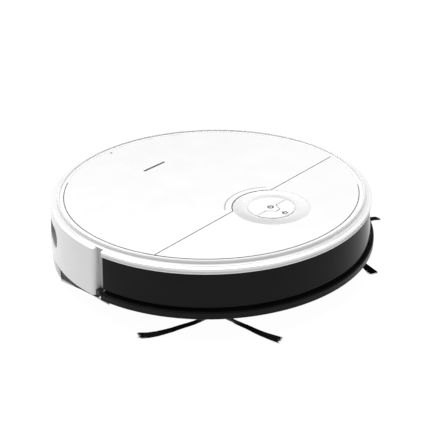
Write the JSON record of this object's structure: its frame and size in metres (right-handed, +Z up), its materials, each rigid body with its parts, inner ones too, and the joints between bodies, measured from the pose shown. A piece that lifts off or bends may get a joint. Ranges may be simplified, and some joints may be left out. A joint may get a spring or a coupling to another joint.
{
  "type": "robot vacuum",
  "caption": "Low round robot vacuum with a sprung front bumper, three-armed side brushes, a roller brush, a dust bin under a hinged lid and a rear mop tank.",
  "frame": {"origin": "on the floor under the middle of the round body, where the tyres and the caster touch", "axes": "+X forwards towards the bumper's middle, +Y to the machine's left, +Z up"},
  "size_m": [0.3498, 0.3521, 0.0763],
  "materials": {
    "shell_white": "glossy white moulded plastic",
    "deck_white": "fine satin white plastic",
    "silver_ring": "spun satin silver",
    "band_black": "glossy black plastic",
    "base_black": "fine-textured black plastic",
    "dark_plastic": "satin dark grey plastic",
    "grey_plastic": "satin mid grey plastic",
    "tank_smoke": "smoked translucent plastic",
    "bin_clear": "smoked translucent plastic",
    "accent_red": "satin red plastic",
    "circuit_green": "green circuit board",
    "battery_blue": "blue shrink wrap",
    "steel": "bright steel",
    "contact_metal": "plated spring metal",
    "tyre_rubber": "black moulded rubber",
    "bristle_black": "black nylon bristle",
    "roller_grey": "dark nylon bristle and rubber blades",
    "mop_fabric": "blue-grey microfibre",
    "filter_paper": "pleated white filter paper",
    "sensor_window": "dark infrared window"
  },
  "bodies": {
    "chassis": {"chassis_base": "base_black", "rear_housing": "shell_white", "body_deck": "deck_white", "top_ring": "shell_white", "front_top_panel": "shell_white", "control_ring": "silver_ring", "control_board": "circuit_green", "main_board": "circuit_green", "battery_pack": "battery_blue", "battery_door": "base_black", "fan_housing": "dark_plastic", "brush_housing": "dark_plastic", "brush_guard": "accent_red", "socket_plate": "dark_plastic", "cliff_window_1": "sensor_window", "cliff_window_2": "sensor_window", "cliff_window_3": "sensor_window", "left_wheel_case": "dark_plastic", "right_wheel_case": "dark_plastic", "left_wheel_spring": "steel", "right_wheel_spring": "steel", "left_brush_motor": "dark_plastic", "right_brush_motor": "dark_plastic", "left_charging_contact": "contact_metal", "right_charging_contact": "contact_metal", "left_bumper_switch": "dark_plastic", "right_bumper_switch": "dark_plastic", "caster_socket": "dark_plastic", "main_brush_gearbox": "dark_plastic", "dust_bin": "bin_clear", "bin_cover": "deck_white", "bin_handle": "grey_plastic", "bin_filter": "filter_paper"},
    "lid": {"bin_lid": "shell_white"},
    "bumper": {"bumper_trim": "shell_white", "bumper_band": "band_black", "bumper_lip": "band_black"},
    "power_key": {"power_button": "shell_white"},
    "dock_key": {"dock_button": "shell_white"},
    "flap": {"inlet_flap": "tyre_rubber"},
    "tank": {"water_tank": "tank_smoke", "tank_cap": "dark_plastic", "mop_cloth": "mop_fabric"},
    "tank_latch": {"tank_release": "grey_plastic"},
    "left_side_brush": {"left_brush_hub": "grey_plastic", "left_brush_bristles": "bristle_black"},
    "right_side_brush": {"right_brush_hub": "grey_plastic", "right_brush_bristles": "bristle_black"},
    "left_arm": {"left_swing_arm": "grey_plastic"},
    "right_arm": {"right_swing_arm": "grey_plastic"},
    "left_wheel": {"left_wheel_hub": "grey_plastic", "left_tyre": "tyre_rubber"},
    "right_wheel": {"right_wheel_hub": "grey_plastic", "right_tyre": "tyre_rubber"},
    "caster_swivel": {"caster_fork": "dark_plastic"},
    "caster_roller": {"caster_wheel": "grey_plastic"},
    "rocker": {"power_rocker": "accent_red"},
    "fan": {"fan_wheel": "grey_plastic"},
    "main_brush": {"roller_core": "accent_red", "roller_bristles": "roller_grey"}
  },
  "joints": [
    {"name": "lid_hinge", "type": "hinge", "parent": "chassis", "child": "lid", "pos_m": [0.0553, 0, 0.0745], "axis": [0, 1, 0], "range_deg": [0, 80]},
    {"name": "bumper_push", "type": "slide", "parent": "chassis", "child": "bumper", "axis": [-1, 0, 0], "range_m": [0, 0.0045], "stiffness_N_per_m": 500, "springref_m": -0.003},
    {"name": "power_press", "type": "slide", "parent": "chassis", "child": "power_key", "axis": [0, 0, -1], "range_m": [0, 0.0008], "stiffness_N_per_m": 600, "springref_m": -0.001},
    {"name": "dock_press", "type": "slide", "parent": "chassis", "child": "dock_key", "axis": [0, 0, -1], "range_m": [0, 0.0008], "stiffness_N_per_m": 600, "springref_m": -0.001},
    {"name": "flap_swing", "type": "hinge", "parent": "chassis", "child": "flap", "pos_m": [0.016, 0, 0.0436], "axis": [0, 1, 0], "range_deg": [0, 60]},
    {"name": "tank_slide", "type": "slide", "parent": "chassis", "child": "tank", "axis": [-1, 0, 0], "range_m": [0, 0.11]},
    {"name": "tank_release_press", "type": "slide", "parent": "tank", "child": "tank_latch", "axis": [1, 0, 0], "range_m": [0, 0.0012], "stiffness_N_per_m": 400, "springref_m": -0.001},
    {"name": "left_side_brush_spin", "type": "hinge", "parent": "chassis", "child": "left_side_brush", "pos_m": [0.0974, 0.1035, 0.008], "axis": [0, 0, 1], "continuous": true},
    {"name": "right_side_brush_spin", "type": "hinge", "parent": "chassis", "child": "right_side_brush", "pos_m": [0.0974, -0.1035, 0.008], "axis": [0, 0, 1], "continuous": true},
    {"name": "left_suspension", "type": "hinge", "parent": "chassis", "child": "left_arm", "pos_m": [0.029, 0.1005, 0.042], "axis": [0, -1, 0], "range_deg": [0, 22], "stiffness_Nm_per_rad": 0.2, "springref_deg": 71.62},
    {"name": "right_suspension", "type": "hinge", "parent": "chassis", "child": "right_arm", "pos_m": [0.029, -0.1005, 0.042], "axis": [0, -1, 0], "range_deg": [0, 22], "stiffness_Nm_per_rad": 0.2, "springref_deg": 71.62},
    {"name": "left_wheel_spin", "type": "hinge", "parent": "left_arm", "child": "left_wheel", "pos_m": [-0.015, 0.112, 0.033], "axis": [0, 1, 0], "continuous": true},
    {"name": "right_wheel_spin", "type": "hinge", "parent": "right_arm", "child": "right_wheel", "pos_m": [-0.015, -0.112, 0.033], "axis": [0, 1, 0], "continuous": true},
    {"name": "caster_turn", "type": "hinge", "parent": "chassis", "child": "caster_swivel", "pos_m": [0.124, 0, 0.03], "axis": [0, 0, 1], "continuous": true},
    {"name": "caster_spin", "type": "hinge", "parent": "caster_swivel", "child": "caster_roller", "pos_m": [0.119, 0, 0.0125], "axis": [0, 1, 0], "continuous": true},
    {"name": "rocker_tilt", "type": "hinge", "parent": "chassis", "child": "rocker", "pos_m": [-0.08717, -0.1395, 0.048], "axis": [0, 0, 1], "range_deg": [0, 7.5]},
    {"name": "fan_spin", "type": "hinge", "parent": "chassis", "child": "fan", "pos_m": [-0.1, 0.076, 0.059], "axis": [0, 0, 1], "continuous": true},
    {"name": "roller_spin", "type": "hinge", "parent": "chassis", "child": "main_brush", "pos_m": [0.05, 0, 0.0215], "axis": [0, 1, 0], "continuous": true}
  ]
}
